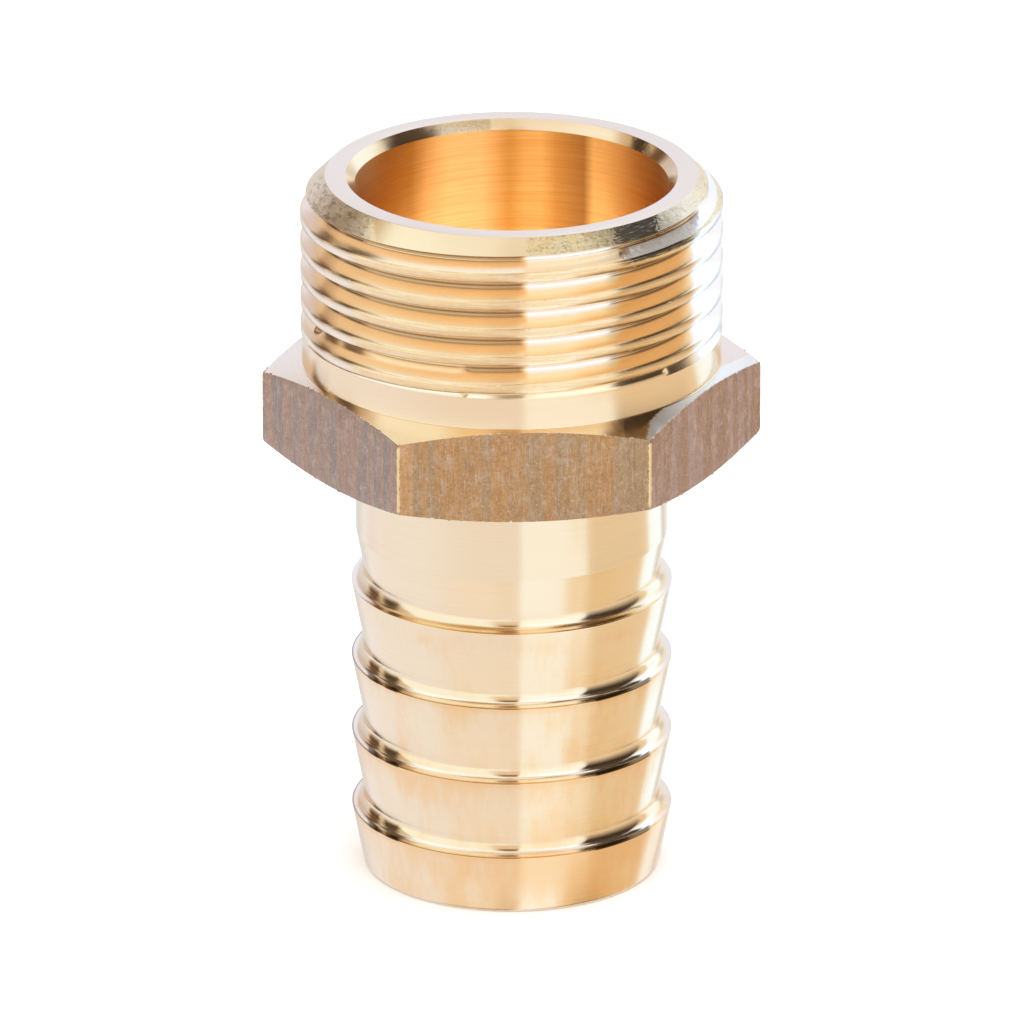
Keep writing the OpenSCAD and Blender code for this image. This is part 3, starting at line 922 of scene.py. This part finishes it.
# what hangs round the object, painted one over another: azimuth from the camera's side (left, right),
# height angle (low, high), softness of those four edges with the lean of the upright ones, colour
panels = {
    "surround": (0.98, 1.02, 1.12),
    "fill": 1.35,
    "cards": [
        (-999, -110, -50, 8, (6, 6, 8, 10), (0.78, 0.82, 0.95)),  # wall behind, left
        (-165, -138, 6, 42, (3, 6, 8, 6), (0.70, 0.68, 0.84)),
        (163, 999, 4, 34, (4, 6, 8, 3), (0.88, 1.05, 1.58)),  # wall straight behind
        (-999, -163, 4, 34, (4, 4, 8, 3), (0.88, 1.05, 1.58)),
        (-108, -2, -34, 62, (6, 3, 8, 8), (1.06, 1.20, 1.36)),  # big white card, left
        (-999, 7, -70, -12, (2, 0.8, 16, 5), (0.95, 1.02, 1.27)),  # table, left
        (-50, 7, -70, -10, (30, 0.8, 16, 5), (0.92, 0.93, 1.06)),
        (-60, 7, -90, -36, (30, 0.8, 6, 6), (0.99, 0.97, 1.03)),
        (-14, 6, -80, -46, (8, 0.8, 6, 3), (0.80, 0.73, 0.66)),
        (7, 58, -90, 64, (0.8, 3, 16, 8), (1.05, 1.17, 1.40)),  # window, right of the camera
        (7, 55, -4, 64, (0.8, 3, 12, 8), (1.22, 1.32, 1.62)),
        (8, 62, 38, 57, (4, 8, 7, 4, 0.1), (1.12, 1.45, 2.1)),
        (9, 58, -99, -49, (4, 4, 1, 4), (1.2, 1.6, 2.4)),
        (-999, 5, -99, -60, (4, 3, 1, 5), (0.52, 0.43, 0.34)),  # shadow under the object
        (123.5, 147, -40, 37, (2.5, 3, 10, 2), (1.06, 1.34, 1.80)),  # white card, far right
        (140, 999, 26, 38, (4, 6, 4, 1.5), (1.15, 1.40, 1.95)),
        (149, 160, -40, 10, (3, 3, 8, 8), (0.72, 0.76, 0.84)),
        (158, 999, -50, 6, (4, 3, 8, 8), (0.92, 0.97, 1.05)),
        (-999, -150, -50, 6, (2, 8, 8, 8), (0.78, 0.82, 0.92)),
        (59.5, 122, -90, 25, (3, 3, 16, 10), (0.89, 0.80, 0.71)),  # wooden table, right
        (66, 127, -90, -31, (5, 4, 16, 5), (0.88, 0.74, 0.56)),
        (70, 127, -90, -38, (7, 5, 16, 5), (0.86, 0.68, 0.45)),
        (46, 66, -62, -30, (5, 4, 6, 5), (0.99, 0.90, 0.80)),
        (61, 136, -99, -48, (3, 6, 1, 3), (0.12, 0.09, 0.07)),
        (57, 111, 0, 38, (1.2, 4, 30, 4, 0.06), (0.05, 0.037, 0.032)),  # dark doorway, right
        (64, 117, 34, 48, (2, 4, 4, 3), (0.06, 0.045, 0.04)),
        (77, 124, 44, 58, (4, 6, 3, 2), (0.09, 0.07, 0.06)),
        (120, 999, 38.5, 60, (6, 6, 1.5, 2), (0.07, 0.05, 0.035)),
        (-137, -92, -3, 40, (3, 2, 16, 4), (0.72, 0.61, 0.50)),  # bookcase, left
        (-156, -102, 24, 49, (4, 4, 4, 3), (0.72, 0.61, 0.50)),
        (-112.5, -95, -1, 18, (1.5, 1.5, 16, 3), (0.09, 0.06, 0.045)),
        (-117, -99.5, 16, 28, (2, 1.5, 3, 3), (0.09, 0.06, 0.045)),
        (-123, -105, 26, 36, (2, 2, 3, 2), (0.10, 0.07, 0.045)),
        (-141, -113, 35, 41, (3, 3, 2, 2), (0.10, 0.07, 0.045)),
        (-170, -120, 40, 50, (4, 4, 2, 3), (0.12, 0.08, 0.05)),
        (-135, -119.5, -9, 19, (3, 1.5, 17, 3), (0.14, 0.08, 0.05)),
        (-142, -125, 18, 28, (3, 2, 3, 2), (0.14, 0.08, 0.05)),
        (-157, -132, 27, 33.5, (4, 2.5, 2, 1.5), (0.14, 0.08, 0.05)),
        (-999, -150, 33, 37, (6, 3, 1.5, 1.2), (0.16, 0.10, 0.06)),
        (-15, 6, 6, 60, (7, 1.2, 14, 4), (0.86, 0.73, 0.62)),  # the camera on its stand
        (-12, 6, 42, 60, (6, 1.2, 6, 4), (0.24, 0.15, 0.07)),
        (-8, 75, 62, 80, (6, 10, 4, 6), (0.88, 0.85, 0.80)),  # ceiling over the camera
    ],
}


def makeWorld():
    world = bpy.data.worlds.new("studio")
    world.use_nodes = True
    world.node_tree.nodes.clear()
    g = Graph(world.node_tree)
    x, y, z = g.parts(g.add("ShaderNodeTexCoord"))
    turn = math.radians(studio["azimuth"])
    toRight = x * math.cos(turn) + y * math.sin(turn)
    toCamera = x * math.sin(turn) - y * math.cos(turn)
    azimuth = g.maths("ARCTAN2", toRight, toCamera) * (180 / math.pi)
    height = g.maths("ARCSINE", z) * (180 / math.pi)
    colour = panels["surround"]
    for left, right, low, high, soft, paint in panels["cards"]:
        place = azimuth - (height + 21) * soft[4] if len(soft) > 4 else azimuth
        mask = g.ease(place, left - soft[0], left + soft[0]) \
            * g.fade(place, right - soft[1], right + soft[1]) \
            * g.ease(height, low - soft[2], low + soft[2]) \
            * g.fade(height, high - soft[3], high + soft[3])
        colour = g.mixColour(mask, colour, paint)
    # the cards are for reflections: dull surfaces get an even fill and the camera sees white
    path = g.add("ShaderNodeLightPath")
    painted = g.add("ShaderNodeBackground", sockets={"Color": colour})
    even = g.add("ShaderNodeBackground", sockets={"Color": (panels["fill"],) * 3})
    white = g.add("ShaderNodeBackground", sockets={"Color": (1, 1, 1)})
    lit = g.add("ShaderNodeMixShader", sockets={0: g.output(path, "Is Diffuse Ray"), 1: painted, 2: even})
    seen = g.add("ShaderNodeMixShader", sockets={0: g.output(path, "Is Camera Ray"), 1: lit, 2: white})
    world.cycles.sampling_method = "NONE"
    g.add("ShaderNodeOutputWorld", sockets={"Surface": seen})
    bpy.context.scene.world = world


def makeLamp(name, place, size, power):
    data = bpy.data.lights.new(name, "AREA")
    data.size = size
    data.energy = power
    light = bpy.data.objects.new(name, data)
    light.location = place
    bpy.context.collection.objects.link(light)
    return light


def makeLights():
    above = studio["overheadPlace"]
    overhead = makeLamp("overhead", above, studio["overheadSize"], studio["overheadPower"])
    aim = Vector((0, 0, 0.02)) - Vector(above)
    overhead.rotation_euler = aim.to_track_quat("-Z", "Y").to_euler()
    overhead.visible_glossy = False
    # a small disc at the bottom of the wide bore stands for the light that goes round in it
    seat = (0, 0, (fittingTop - passage["threadDepth"] + 0.3) * mm)
    lamp = makeLamp("boreLamp", seat, studio["lampSize"] * mm, studio["lampPower"])
    lamp.data.shape = "DISK"
    lamp.rotation_euler = (math.pi, 0, 0)
    lamp.visible_camera = False


makeCamera()
makeFloor()
makeWorld()
makeLights()
print("studio: camera, floor and lights")

fitting = makeFitting()
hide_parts("hose_nipple")
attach(fitting, "root")

scene = bpy.context.scene
scene.view_settings.view_transform = "Standard"
scene.cycles.glossy_bounces = 6   # the bore is lit by light that has gone round it several times
